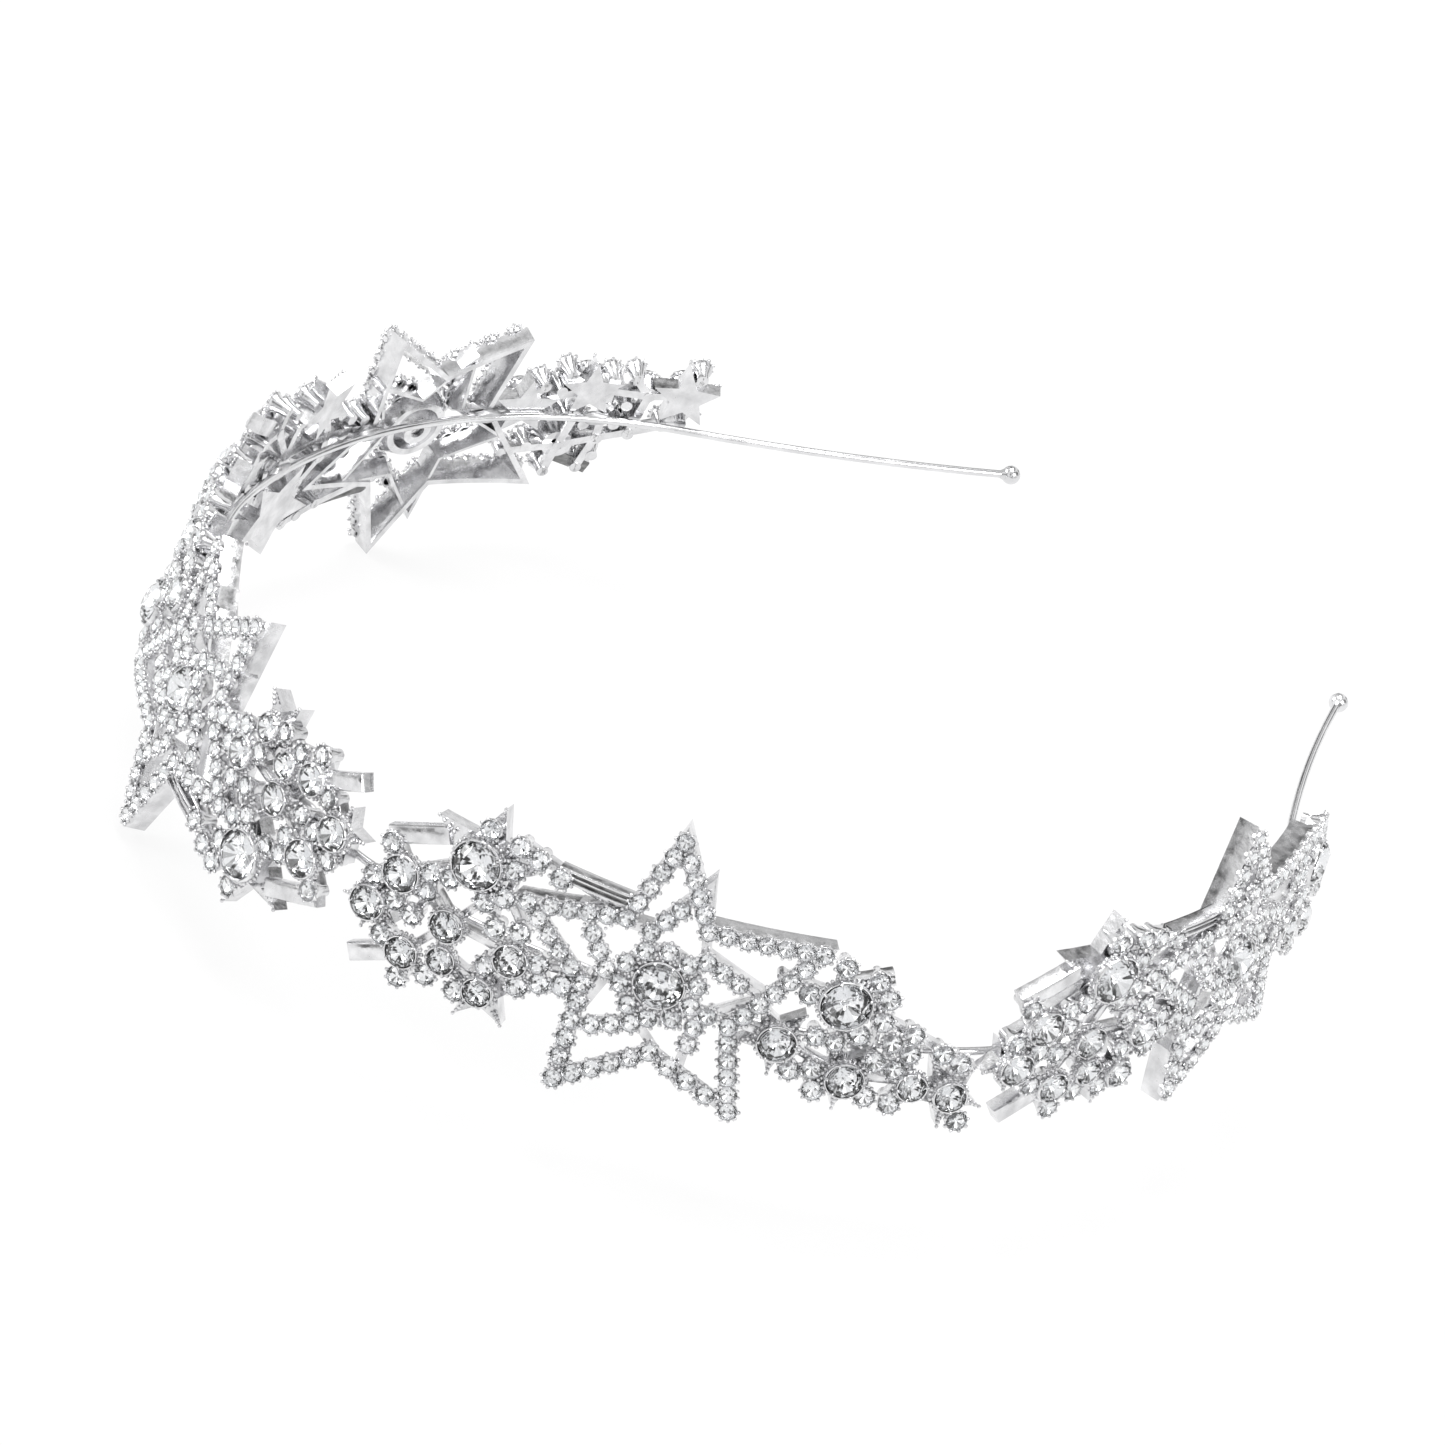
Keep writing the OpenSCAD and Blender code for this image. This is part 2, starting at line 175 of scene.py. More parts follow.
def drawn_rhodium():
    """Polished plate over drawn wire: faint drawing marks and rubbed patches."""
    material, tree, shader = node_material("drawn_rhodium")
    shader.inputs["Metallic"].default_value = 1.0
    patches = grain(tree, 260, 3)
    tint(tree, patches, (0.70, 0.70, 0.71), (0.86, 0.86, 0.87), shader.inputs["Base Color"])
    spread(tree, patches, 0.10, 0.24, shader.inputs["Roughness"])
    roughen(tree, grain(tree, 2400, 2, stretch=(1, 1, 4)), 0.25, 0.04 * MM, shader)
    return material


rhodium_wire = drawn_rhodium()
bm = bmesh.new()
draw_wire(bm, 1, right_arcs)
draw_wire(bm, -1, left_arcs)
bmesh.ops.remove_doubles(bm, verts=bm.verts, dist=WIRE_SEAM)
bmesh.ops.recalc_face_normals(bm, faces=bm.faces)
bmesh.ops.transform(bm, matrix=in_frame, verts=bm.verts)
wire = finish_piece(bm, "sprung_wire", [rhodium_wire])
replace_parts(wire, "band_wire")

# ---- Ball tips ----
# A small turned ball is soldered onto each end of the wire, so that it doesn't scratch.
# The solder leaves a narrow collar where the wire goes in.
BALL_D = 2.5
BALL_BORE = 1.5
BALL_SIDES, BALL_RINGS = 40, 24
COLLAR_R = 0.78
COLLAR_LONG = 0.5
COLLAR_SIDES = 32
COLLAR_LIP = 0.03


def turn_ball(name, side, arcs):
    """A turned ball with its solder collar at the end of one half of the wire."""
    x, y, heading = along_band(arcs, sum(length for length, radius in arcs))
    place = in_frame @ Matrix.Translation((side * x, y, 0)) @ Matrix.Rotation(
        heading if side > 0 else pi - heading, 4, "Z") @ Matrix.Rotation(pi / 2, 4, "Y")
    bm = bmesh.new()
    bmesh.ops.create_uvsphere(bm, u_segments=BALL_SIDES, v_segments=BALL_RINGS, radius=BALL_D / 2,
                              matrix=Matrix.Translation((0, 0, BALL_D / 2 - BALL_BORE)))
    bmesh.ops.create_cone(bm, cap_ends=True, segments=COLLAR_SIDES, radius1=WIRE_R + COLLAR_LIP,
                          radius2=COLLAR_R, depth=COLLAR_LONG,
                          matrix=Matrix.Translation((0, 0, -BALL_BORE)))
    bmesh.ops.transform(bm, matrix=place, verts=bm.verts)
    bmesh.ops.recalc_face_normals(bm, faces=bm.faces)
    piece = finish_piece(bm, name, [rhodium_wire])
    return piece


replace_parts(turn_ball("turned_ball_right", 1, right_arcs), "ball_tip_right")
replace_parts(turn_ball("turned_ball_left", -1, left_arcs), "ball_tip_left")

# ---- Star plaque castings ----
# Four lost-wax castings from one master, pressed round a former and rhodium plated: two
# interlaced open stars, cups and ribs for the wings, backing stars, tail bars and grain beads.
# Sizes are in mm, and heights are counted from the back of the plaque.
CAST_T = 3.2
INNER_RISE = 0.25
RING_RISE = 0.25
INNER_TOP = CAST_T + INNER_RISE
RING_TOP = INNER_TOP + RING_RISE
# the star bars: trimmed at the openings, lower than their cups and narrow at the back
BAR_W = 2.1
INNER_BAR_W = 1.9
STAR_BAR_TOP = 2.78
SMALL_BAR_BASE = 0.25
SMALL_BAR_LIFT = 0.02
BAR_FOOT = 0.4
BAR_TRIM = 0.12
SMALL_TRIM = 0.36
STAR_ROUND = 0.14
# the tail bars: two plain ones and two with grooves between thin walls
PLAIN_W = 2.2
PLAIN_BASE = 0.9
PLAIN_ROUND = 0.5
TAIL_W = 1.7
BAR_BASE = 1.1
BAR_T = 2.9
GROOVE_DEEP = 0.35
GROOVE_INSET = 0.1
GROOVE_ROUND = 0.1
WALL_BASE = BAR_BASE + 0.2
WALL_ROUND = 0.11
groove_walls = [(0.5, 0.36, BAR_T), (0.0, 0.26, BAR_T - 0.1), (-0.5, 0.36, BAR_T)]
# the ribs behind the wings, with a round knuckle where they meet
RIB_W = 1.05
RIB_BASE = 0.5
RIB_T = 2.1
RIB_ROUND = 0.25
KNUCKLE_R = 0.62
KNUCKLE_SIDES = 16
# the backing stars
STAR_T = 2.6
STAR_RIDGE = 0.5
STAR_WAIST = 0.45
# the stones and their cups
CUP_WALL = 0.3
CUP_BASE = 0.8
CUP_SIDES = 36
CENTRE_D = 5.4
LARGE_D = 5.6
MEDIUM_TOP = CAST_T + 0.6
LARGE_TOP = CAST_T + 0.9
# the pave stones are spaced for seats of PAVE_D, and show a little larger
PAVE_D = 1.95
PAVE_R = 1.06
PAVE_STEP = 2.08
PAVE_GAP = 0.08
PAVE_SIDES = 18
TIP_GAP = 2.0
ROW_TRY = 0.2
RING_R = 4.3
RING_STONES = 10
RING_TURN = radians(17)
RING_DROP = 0.4
RING_SIDES = 48

star_centre = Vector((0, 3.2))
big_tips = [Vector(p) for p in (
    (18.5, 12.6), (-2.1, 22.7), (-18.6, 7.3), (-8.7, -14.0), (12.4, -11.4))]
big_roots = [Vector(p) for p in (
    (4.0, 12.0), (-6.3, 10.4), (-9.0, -0.2), (1.35, -6.35), (9.6, 0.0))]
small_tips = [Vector(p) for p in (
    (13.4, 4.9), (2.9, 18.6), (-11.9, 9.6), (-9.8, -6.9), (5.4, -9.7))]
small_roots = [Vector(p) for p in (
    (4.9, 8.3), (-2.9, 9.9), (-6.6, 2.3), (-1.5, -3.2), (5.9, 0.0))]
large_at = [(20.45, 6.3, LARGE_D), (-23.3, 8.7, LARGE_D)]
medium_at = [(14.2, -0.1, 4.1), (22.5, -3.1, 4.0), (30.1, -2.9, 3.1), (34.7, -3.7, 3.4),
             (-31.2, 3.2, 4.1), (-33.7, -2.1, 3.8), (-28.0, -5.5, 3.5), (-24.2, 0.0, 3.6),
             (-23.5, -4.2, 3.0), (-16.2, -0.5, 3.6), (-18.5, -5.8, 3.1)]
wing_pave = [Vector(p) for p in (
    (16.3, 6.6), (19.6, 10.6), (23.7, 9.6), (25.3, 7.5), (25.2, 4.7), (22.9, 2.6),
    (29.0, 3.5), (26.8, 2.2), (29.1, 1.1), (32.9, 1.5), (35.1, 0.5), (25.4, -0.4),
    (20.4, 1.3), (18.2, 1.6), (16.3, -3.1), (18.7, -2.5), (19.4, -5.1), (25.2, -4.9),
    (28.1, -5.4), (36.2, -6.8), (27.7, -1.0),
    (-23.3, 13.1), (-19.4, 12.7), (-16.9, 12.2), (-13.9, 11.2), (-19.1, 9.8),
    (-33.6, 5.9), (-27.7, 2.7), (-28.0, 4.9), (-25.8, 5.4), (-34.3, 1.2), (-30.95, -0.3),
    (-28.5, -0.9), (-31.0, -4.9), (-27.6, -8.6), (-24.7, -6.8), (-21.0, -7.0),
    (-21.2, 4.7), (-19.2, 6.2), (-16.3, 3.0), (-19.1, 2.2), (-13.2, 0.3), (-12.5, -1.9),
    (-14.7, -3.3), (-10.1, -1.1), (-18.7, -2.5))]
ribs = [
    [(13, 7.5), (20.4, 6.3), (29, 3.2), (35.2, 0.5)],
    [(6.5, 1.0), (14.2, -0.1), (22.5, -3.1), (30.1, -2.9), (34.7, -3.7), (36.2, -6.7)],
    [(19.6, 10.6), (20.4, 6.3), (22.5, -3.1), (19.4, -5.1)],
    [(23.7, 9.6), (25.0, 4.6), (25.2, -4.9)],
    [(29, 3.2), (30.1, -2.9), (28.0, -5.4)],
    [(14.2, -0.1), (16.3, -3.2)],
    [(-5, 9.5), (-13.9, 11.3), (-19.4, 12.6), (-23.3, 8.7), (-31.2, 3.2), (-33.7, -2.1)],
    [(-8, 0.5), (-16.2, -0.5), (-24.2, 0), (-28, -5.5), (-27.6, -8.6)],
    [(-16.2, -0.5), (-18.5, -5.8), (-23.5, -4.2), (-24.2, 0), (-21.3, 4.6), (-23.3, 8.7)],
    [(-16.2, -0.5), (-16.3, 3.0), (-19.2, 6.2), (-19.1, 9.8)],
    [(-23.3, 8.7), (-28, 4.4), (-27.7, 2.7), (-28.5, -0.9), (-33.7, -2.1)],
    [(-28, -5.5), (-31, -4.9), (-33.7, -2.1)],
    [(-31.2, 3.2), (-34.6, 1.2), (-33.7, -2.1)],
    [(-31.2, 3.2), (-33.9, 6.0)],
    [(-24.2, 0), (-27.7, 2.7)]]
plain_tails = [
    [(-34.6, 6.3), (-27.6, 9.9)],
    [(-34.1, -9.3), (-28, -5.6)]]
grooved_tails = [
    [(-14.5, 11.7), (-5.2, 11.4)],
    [(20.6, 8.4), (25.4, 10.1)]]
# backing stars: place, reach of the points and turn in degrees
star_seats = [(-23.3, 8.7, 7.2, 85), (-18.5, -5.8, 4.7, 28), (34.7, -3.7, 4.5, 51),
              (14.2, -0.1, 4.5, 54), (22.5, -3.1, 4.3, 50), (-33.7, -2.1, 3.6, 51)]
PITCH = 74.2
# side of the band, distance along it, radius of the press, lean in degrees and height
plaques = {
    "right_inner": (1, PITCH / 2, 88.5, 11.4, -0.13),
    "right_outer": (1, PITCH * 1.5 + 1, 71.9, 5.1, 2.0),
    "left_inner": (-1, PITCH / 2 - 0.2, 69.4, 12.4, 0.13),
    "left_outer": (-1, PITCH * 1.5, 65.8, 4.7, 0.83)}


def between(corner, a, b):
    """The direction from a corner halfway between the two bars that leave it."""
    return ((a - corner).normalized() + (b - corner).normalized()).normalized()


def inset_corner(tip, a, b, width):
    """The inner corner of a bar of that width, where two edges meet at tip."""
    way = between(tip, a, b)
    edge = (a - tip).normalized()
    return tip + way * width / abs(way.x * edge.y - way.y * edge.x)


def toward(p, q, distance):
    return p + (q - p).normalized() * distance


def row(a, b):
    """Stations at an even step between two corners."""
    count = max(1, int((b - a).length / PAVE_STEP))
    return [a + (b - a) * i / count for i in range(1, count)]


def star_pave(tips, roots, width):
    """Pave stations along the centre lines of a star's bars."""
    stations = []
    for k in range(5):
        a, b = roots[k], roots[k - 1]
        t = tips[k] + between(tips[k], a, b) * TIP_GAP
        ca, cb = toward(a, star_centre, width / 2), toward(b, star_centre, width / 2)
        stations += [t, ca] + row(t, ca) + row(toward(t, cb, PAVE_STEP / 4), cb)
    return stations


def fill_pave(tips, roots, width):
    """Close stations along a star's bars, roots first, for a stone wherever one fits."""
    stations = []
    for k in range(5):
        a, b = roots[k], roots[k - 1]
        t = tips[k] + between(tips[k], a, b) * TIP_GAP
        for root in (a, b):
            start = toward(root, star_centre, width / 2)
            tries = int((t - start).length / ROW_TRY) + 1
            stations += [toward(start, t, ROW_TRY * n) for n in range(tries)]
    return stations


def thin(stations, held):
    """Keeps the stations that stand clear of every one kept before them."""
    kept = []
    for p in stations:
        if min((p - q).length for q in held + kept) > PAVE_D + PAVE_GAP:
            kept.append(p)
    return kept


def off_chatons(stations):
    """Keeps the stations that stand clear of the larger stones and their cups."""
    return [p for p in stations if min((p - Vector(c[:2])).length - c[2] / 2
                                       for c in large_at + medium_at) > (PAVE_D + CUP_WALL) / 2]


ring_turns = [2 * pi / RING_STONES * k + RING_TURN for k in range(RING_STONES)]
ring_pave = [star_centre + RING_R * Vector((cos(turn), sin(turn))) for turn in ring_turns]
star_kept = thin(off_chatons(star_pave(big_tips, big_roots, BAR_W)), ring_pave)
inner_kept = thin(off_chatons(fill_pave(small_tips, small_roots, INNER_BAR_W)),
                  ring_pave + star_kept)
wing_kept = thin(off_chatons(wing_pave), star_kept + inner_kept)


def repeat(bm, shell, places):
    """Adds a finished shell to a piece, once at each of the given places."""
    part = bpy.data.meshes.new("shell")
    bmesh.ops.recalc_face_normals(shell, faces=shell.faces)
    shell.to_mesh(part)
    shell.free()
    for place in places:
        first = len(bm.verts)
        bm.from_mesh(part)
        bm.verts.ensure_lookup_table()
        bmesh.ops.transform(bm, matrix=place, verts=bm.verts[first:])
    bpy.data.meshes.remove(part)


def join_shell(bm, shell):
    """Adds a finished shell to the casting where it stands."""
    repeat(bm, shell, [Matrix()])


SHARP_TURN = 0.7
AT_TOP = 1e-4


def raise_plate(bm, faces, base, top, round_edge, drawn_in=()):
    """Raises a flat outline into a plate with a rounded top; drawn_in narrows its foot."""
    raised = bmesh.ops.extrude_face_region(bm, geom=faces)["geom"]
    verts = [g for g in raised if isinstance(g, bmesh.types.BMVert)]
    bmesh.ops.translate(bm, verts=verts, vec=(0, 0, top - base))
    for foot, p in drawn_in:
        foot.co.xy = p
    bmesh.ops.translate(bm, verts=bm.verts, vec=(0, 0, base))
    bmesh.ops.recalc_face_normals(bm, faces=bm.faces)
    rim = [e for e in bm.edges if len(e.link_faces) == 2 and e.calc_face_angle() > SHARP_TURN
           and min(v.co.z for v in e.verts) > top - AT_TOP]
    bmesh.ops.bevel(bm, geom=rim, offset=round_edge, offset_type="OFFSET", segments=2, profile=0.5,
                    affect="EDGES", material=-1, clamp_overlap=True)


def outline(bm, points):
    """A closed run of edges through the given points."""
    verts = [bm.verts.new((p[0], p[1], 0)) for p in points]
    return [bm.edges.new((verts[i], verts[(i + 1) % len(verts)])) for i in range(len(verts))]


def inside_of_star(tips, roots, width):
    """The inner outline that leaves bars of that width inside a star."""
    inner = []
    for k in range(5):
        a, b = roots[k], roots[k - 1]
        inner += [inset_corner(tips[k], a, b, width),
                  2 * a - inset_corner(a, tips[k], tips[(k + 1) % 5], width)]
    return inner


def open_star(bm, tips, roots, trim, width, base, top):
    """An open five-pointed star, its bars trimmed on both sides and narrower at the back."""
    shell = bmesh.new()
    edges = outline(shell, inside_of_star(tips, roots, trim)) + outline(
        shell, inside_of_star(tips, roots, width - trim))
    shell.verts.ensure_lookup_table()
    foot = list(zip(shell.verts[2 * len(tips):], inside_of_star(tips, roots, width * BAR_FOOT)))
    faces = bmesh.ops.bridge_loops(shell, edges=edges)["faces"]
    raise_plate(shell, faces, base, top, STAR_ROUND, foot)
    join_shell(bm, shell)


def straight_bar(bm, a, b, width, base, top, round_edge, plate_or_groove_shade=0):
    """A plain bar between two stations, in the plate's own colour or in the painted shade of a
    groove floor.
    """
    a, b = Vector(a), Vector(b)
    side = Vector((a.y - b.y, b.x - a.x)).normalized() * width / 2
    shell = bmesh.new()
    edges = outline(shell, (a + side, a - side, b - side, b + side))
    face = bmesh.ops.contextual_create(shell, geom=edges)["faces"]
    raise_plate(shell, face, base, top, round_edge)
    for f in shell.faces:
        f.material_index = plate_or_groove_shade
    join_shell(bm, shell)


def grooved_bar(bm, a, b, width):
    """A polished bar with a rounded rim down each side and a rounded rib down its middle."""
    a, b = Vector(a), Vector(b)
    side = Vector((a.y - b.y, b.x - a.x)).normalized()
    # the groove floor takes the second slot, the painted shade of a groove
    straight_bar(bm, a, b, width - GROOVE_INSET, BAR_BASE, BAR_T - GROOVE_DEEP, GROOVE_ROUND, 1)
    for offset, wide, top in groove_walls:
        shift = side * offset * (width - wide)
        straight_bar(bm, a + shift, b + shift, wide, WALL_BASE, top, WALL_ROUND)


SHELL_SEAM = 0.0005


def turned(profile, segments):
    """A shell of revolution about Z from a profile of (radius, height)."""
    shell = bmesh.new()
    verts = [shell.verts.new((r, 0, z)) for r, z in profile]
    edges = [shell.edges.new(pair) for pair in zip(verts, verts[1:])]
    bmesh.ops.spin(shell, geom=verts + edges, cent=(0, 0, 0), axis=(0, 0, 1), dvec=(0, 0, 0),
                   angle=2 * pi, steps=segments, use_merge=True, use_duplicate=False)
    bmesh.ops.remove_doubles(shell, verts=shell.verts, dist=SHELL_SEAM)
    return shell


def small_star(bm, x, y, tip_r, turn):
    """A backing star with a ridge down every point."""
    shell = bmesh.new()
    points = []
    for k in range(10):
        r = tip_r * (1 if k % 2 == 0 else STAR_WAIST)
        points.append((x + r * cos(radians(turn + 36 * k)), y + r * sin(radians(turn + 36 * k))))
    face = bmesh.ops.contextual_create(shell, geom=outline(shell, points))["faces"]
    raised = bmesh.ops.extrude_face_region(shell, geom=face)["geom"]
    bmesh.ops.translate(shell, verts=[g for g in raised if isinstance(g, bmesh.types.BMVert)],
                        vec=(0, 0, STAR_T - STAR_RIDGE))
    top = [g for g in raised if isinstance(g, bmesh.types.BMFace)]
    bmesh.ops.poke(shell, faces=top, offset=STAR_RIDGE)
    join_shell(bm, shell)


def pressed(plaque, p):
    """Where a point of the flat master goes when the casting is pressed round the former."""
    side, distance, radius, lean, height = plaque
    swing = radians(-lean * side)
    v, z = p.y + height * side, WIRE_R + p.z
    y, out = v * cos(swing) - z * sin(swing), v * sin(swing) + z * cos(swing)
    turn = p.x / radius
    return Vector(((radius + out) * sin(turn), y, (radius + out) * cos(turn) - radius))


def plaque_place(plaque):
    """From a plaque's own axes to the frame: X along the wire, Y across it, Z outward."""
    side, distance = plaque[:2]
    x, y, heading = along_band(right_arcs if side > 0 else left_arcs, distance)
    return (in_frame @ Matrix.Translation((side * x, y, 0))
            @ Matrix.Rotation(side * heading, 4, "Z") @ Matrix.Rotation(pi / 2, 4, "X")
            @ Matrix.Rotation(0 if side > 0 else pi, 4, "Z"))


def station(plaque, x, y, z):
    """A rigid place on the back of a plaque, for a stone that isn't bent with the metal."""
    side, distance, radius, lean, height = plaque
    turn = x / radius
    return (plaque_place(plaque)
            @ Matrix.Translation((radius * sin(turn), 0, radius * (cos(turn) - 1)))
            @ Matrix.Rotation(turn, 4, "Y") @ Matrix.Rotation(radians(-lean * side), 4, "X")
            @ Matrix.Translation((0, y + height * side, WIRE_R + z)))


def spot(x, y, z=0.0, turn=0.0, size=1.0):
    """A place on the flat master, turned about its own axis and scaled."""
    return (Matrix.Translation((x, y, z)) @ Matrix.Rotation(turn, 4, "Z")
            @ Matrix.Scale(size, 4))


master = bmesh.new()
open_star(master, big_tips, big_roots, BAR_TRIM, BAR_W, 0, STAR_BAR_TOP)
open_star(master, small_tips, small_roots, SMALL_TRIM, INNER_BAR_W, SMALL_BAR_BASE,
          STAR_BAR_TOP + SMALL_BAR_LIFT)
# the ring that carries the centre stone, hollow under it
ring_top = RING_TOP - RING_DROP
ring = [(3.2, 1.3), (4.1, 1.3), (4.9, ring_top - 0.5), (4.9, ring_top - 0.15),
        (4.75, ring_top), (2.9, ring_top), (2.9, ring_top - 0.6), (3.2, 1.3)]
repeat(master, turned(ring, RING_SIDES), [spot(*star_centre)])
for chain in ribs:
    for a, b in zip(chain, chain[1:]):
        straight_bar(master, a, b, RIB_W, RIB_BASE, RIB_T, RIB_ROUND)
knuckle = [(0, 0.4), (KNUCKLE_R, 0.4), (KNUCKLE_R, RIB_T - 0.2),
           (KNUCKLE_R - 0.2, RIB_T + 0.05), (0, RIB_T + 0.1)]
rib_ends = sorted({p for chain in ribs for p in chain})
repeat(master, turned(knuckle, KNUCKLE_SIDES), [spot(x, y) for x, y in rib_ends])
for a, b in plain_tails:
    straight_bar(master, a, b, PLAIN_W, PLAIN_BASE, BAR_T, PLAIN_ROUND)
for a, b in grooved_tails:
    grooved_bar(master, a, b, TAIL_W)
for seat in star_seats:
    small_star(master, *seat)

# pave cups: a thin rim round every small stone, and a tapered stem under those of the wings,
# whose stones are picked as large as their neighbours allow
rim_r, rim_in = PAVE_R + 0.09, PAVE_R - 0.01
WING_SMALLEST, WING_LARGEST = 0.95, 1.13
WING_LAP = 0.03


def wing_size(p):
    """Size of a wing stone against the common pave stone."""
    nearest = min([(p - q).length for q in wing_kept + star_kept + inner_kept if q != p])
    return max(WING_SMALLEST, min(WING_LARGEST, (nearest / 2 + WING_LAP) / PAVE_R))


rim = [(rim_in - 0.25, -0.75), (rim_r - 0.12, -0.75), (rim_r, -0.35), (rim_r, 0.02),
       (rim_r - 0.05, 0.12), (rim_in + 0.03, 0.1), (rim_in, 0.0), (rim_in - 0.05, -0.4),
       (rim_in - 0.25, -0.75)]
pave_tops = ([(p, CAST_T, 1.0) for p in star_kept] + [(p, CAST_T, wing_size(p)) for p in wing_kept]
             + [(p, INNER_TOP, 1.0) for p in inner_kept] + [(p, RING_TOP, 1.0) for p in ring_pave])
rims = [spot(p.x, p.y, top, 0, size) for p, top, size in pave_tops]
repeat(master, turned(rim, PAVE_SIDES), rims)
stem = [(0, 0.4), (0.75, 0.4), (0.8, 1.4), (rim_r - 0.1, 2.1), (rim_r, CAST_T - 0.5),
        (0, CAST_T - 0.6)]
repeat(master, turned(stem, PAVE_SIDES), [spot(p.x, p.y) for p in wing_kept])


def chaton_cup(bm, x, y, d, top):
    """A stepped cup with a thin rim round a large stone."""
    r = d / 2
    cup = [(r * 0.35, CUP_BASE), (r * 0.72, CUP_BASE), (r * 0.8, CUP_BASE + 0.9),
           (r + CUP_WALL - 0.08, top - 1.3), (r + CUP_WALL, top - 0.9), (r + CUP_WALL, top - 0.12),
           (r + CUP_WALL - 0.08, top + 0.03), (r + 0.1, top + 0.03), (r + 0.06, top - 0.3),
           (r - 0.05, top - 0.45), (r * 0.35, top - 2.2), (r * 0.35, CUP_BASE)]
    repeat(bm, turned(cup, CUP_SIDES), [spot(x, y)])


centre_seats = [(*star_centre, CENTRE_D, MEDIUM_TOP)]
large_seats = [(x, y, d, LARGE_TOP) for x, y, d in large_at]
medium_seats = [(x, y, d, MEDIUM_TOP) for x, y, d in medium_at]
chatons = large_seats + medium_seats + centre_seats
for c in chatons:
    chaton_cup(master, *c)

# grain beads are raised from the metal: a pair where two pave stones meet, then more round
# each stone, a row round each chaton and a row down each point of a backing star
BEAD_R = 0.25
BEAD_OFF = 0.16
BEAD_CLEAR = 0.02
BEAD_APART = 1.9 * BEAD_R
BEAD_LIFT = 0.05
BEAD_UNEVEN = 0.12
PAIR_REACH = 2.9
PAIR_OFF = 0.74
BEADS_ROUND = 9
BEAD_TURN = 1.3
CHATON_BEAD_R = 0.26
CHATON_BEAD_OFF = 0.45
CHATON_BEAD_STEP = 0.62
CHATON_BEAD_DOWN = 0.75
CHATON_BEAD_STAGGER = 0.12
POINT_DROP = 0.3
POINT_SWELL = 0.08
point_steps = (0.99, 0.87, 0.75, 0.63)


def grain_beads(tops):
    """Stations of the grain beads, (x, y, height), none on a stone or on another bead."""
    beads = []

    def add(p, top):
        if (min((p - q).length - PAVE_R * size for q, t, size in tops) > BEAD_CLEAR
                and all((p - Vector(b[:2])).length > BEAD_APART for b in beads)):
            beads.append((p.x, p.y, top))

    for n, (p, top, size) in enumerate(tops):
        for q in [q for q, *rest in tops[n + 1:] if (p - q).length < PAIR_REACH]:
            across = Vector((p.y - q.y, q.x - p.x)).normalized()
            for sign in (-1, 1):
                add((p + q) / 2 + across * sign * PAIR_OFF, top)
    for n, (p, top, size) in enumerate(tops):
        for k in range(BEADS_ROUND):
            turn = 2 * pi * k / BEADS_ROUND + BEAD_TURN * n
            add(p + (PAVE_R * size + BEAD_OFF) * Vector((cos(turn), sin(turn))), top)
    return beads


beads = [spot(x, y, top + BEAD_LIFT, 3 * x + y, BEAD_R * (1 + BEAD_UNEVEN * sin(5 * x + 3 * y)))
         for x, y, top in grain_beads(pave_tops)]
for x, y, d, top in chatons:
    r = d / 2 + CHATON_BEAD_OFF
    count = round(2 * pi * r / CHATON_BEAD_STEP)
    for k in range(count):
        turn = 2 * pi * k / count
        down = top - CHATON_BEAD_DOWN - CHATON_BEAD_STAGGER * (k % 2)
        beads.append(spot(x + r * cos(turn), y + r * sin(turn), down, turn, CHATON_BEAD_R))
for x, y, tip_r, turn in star_seats:
    for k in range(5):
        way = radians(turn + 72 * k)
        for step in point_steps:
            up = STAR_T - POINT_DROP + POINT_DROP * (1 - step)
            beads.append(spot(x + tip_r * step * cos(way), y + tip_r * step * sin(way), up, way,
                              BEAD_R + POINT_SWELL * (1 - step)))
bead = bmesh.new()
bmesh.ops.create_uvsphere(bead, u_segments=8, v_segments=5, radius=1)
repeat(master, bead, beads)

# claws bent over the rims of the chatons
CLAW_OFF = 0.08
CLAW_LIFT = 0.02
CLAW_LEAN = -0.35
CLAW_SIDES = 8
claws = []
for x, y, d, top in chatons:
    count = 6 if d < 5 else 8
    r = d / 2 + CLAW_OFF
    for k in range(count):
        turn = 2 * pi * (k + 0.5) / count + x
        claws.append(spot(x + r * cos(turn), y + r * sin(turn), top + CLAW_LIFT, turn)
                     @ Matrix.Rotation(CLAW_LEAN, 4, "Y"))
claw = turned([(0, 0.42), (0.13, 0.36), (0.2, 0.2), (0.22, 0), (0.2, -0.5), (0, -0.5)], CLAW_SIDES)
repeat(master, claw, claws)

# cuts across the master let its long bars follow the former
CUT_STEP = 2.5
CUTS_A_SIDE = 15
for k in range(-CUTS_A_SIDE, CUTS_A_SIDE + 1):
    whole = master.verts[:] + master.edges[:] + master.faces[:]
    bmesh.ops.bisect_plane(master, geom=whole, dist=1e-5, plane_co=(k * CUT_STEP, 0, 0),
                           plane_no=(1, 0, 0))
flat_casting = bpy.data.meshes.new("flat_casting")
master.to_mesh(flat_casting)
master.free()


def cast_rhodium():
    """Rhodium over a polished casting: slightly rippled, greyer where the wheel didn't reach."""
    material, tree, shader = node_material("cast_rhodium")
    shader.inputs["Metallic"].default_value = 1.0
    tint(tree, grain(tree, 420, 4), (0.60, 0.60, 0.61), (0.88, 0.88, 0.89),
         shader.inputs["Base Color"])
    spread(tree, grain(tree, 900, 3), 0.10, 0.30, shader.inputs["Roughness"])
    roughen(tree, grain(tree, 1300, 3, 0.5), 0.22, 0.1 * MM, shader)
    return material


